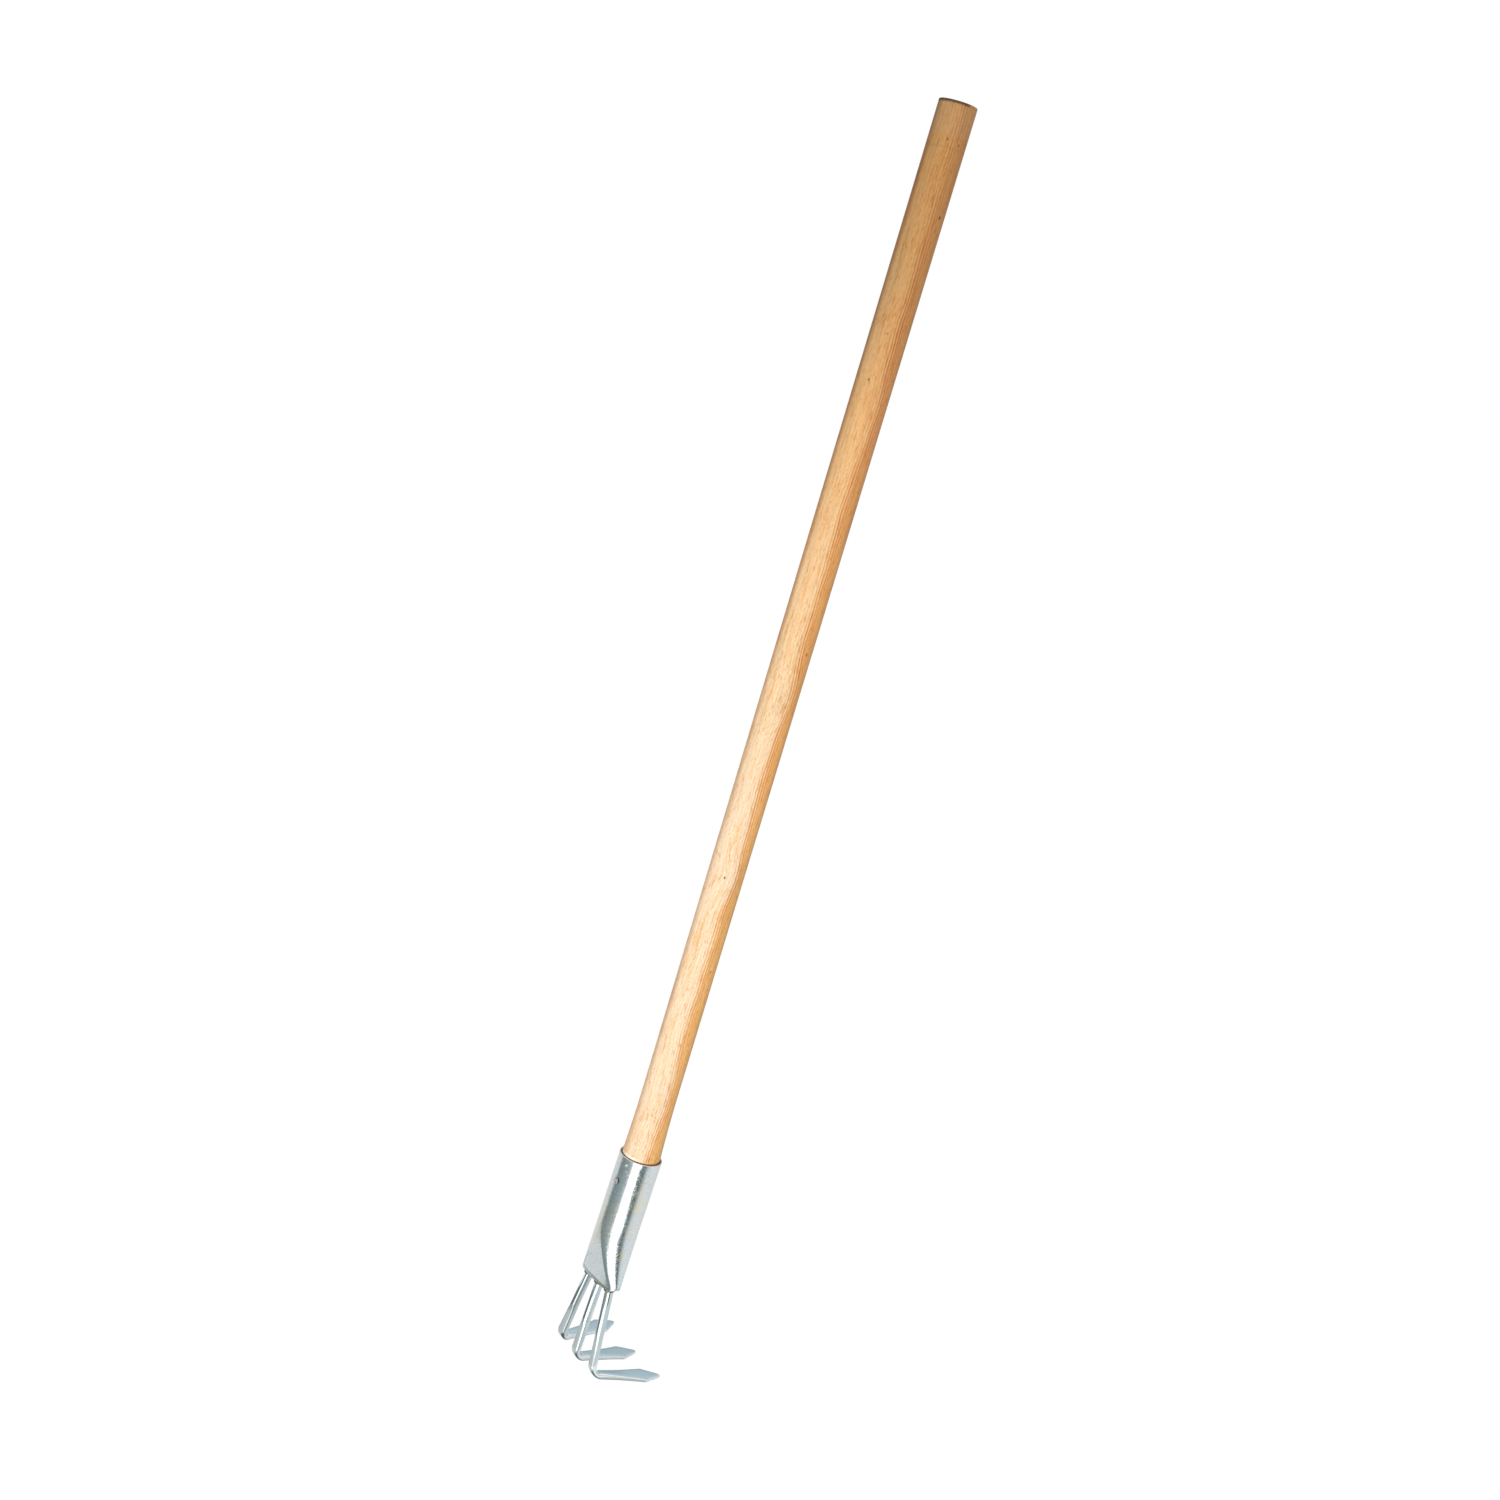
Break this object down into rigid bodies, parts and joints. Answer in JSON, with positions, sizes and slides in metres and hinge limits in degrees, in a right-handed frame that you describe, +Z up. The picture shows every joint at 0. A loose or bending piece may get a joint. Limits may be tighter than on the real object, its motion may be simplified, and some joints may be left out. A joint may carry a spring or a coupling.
{
  "type": "clam rake",
  "caption": "Hand clam rake: straight round wooden handle in a steel tube socket with forged spade-tipped tines bent square to it.",
  "frame": {"origin": "centre of the bottom of the box round the rake, at the height of the lowest blade", "axes": "+Z up along the handle towards its free end, +X the way the blades point, Y along the row of tines"},
  "size_m": [0.0748, 0.0866, 1.0179],
  "materials": {
    "wood": "thin clear varnish, satin",
    "zinc_plated_steel": "bright zinc plating",
    "weld_metal": "dull, plated over",
    "nail_steel": "dull, slightly rusty"
  },
  "bodies": {
    "root": {"handle": "wood", "socket": "zinc_plated_steel", "tine_left": "zinc_plated_steel", "tine_middle": "zinc_plated_steel", "tine_right": "zinc_plated_steel", "weld_left": "weld_metal", "weld_middle": "weld_metal", "weld_right": "weld_metal", "nail": "nail_steel"}
  },
  "joints": []
}
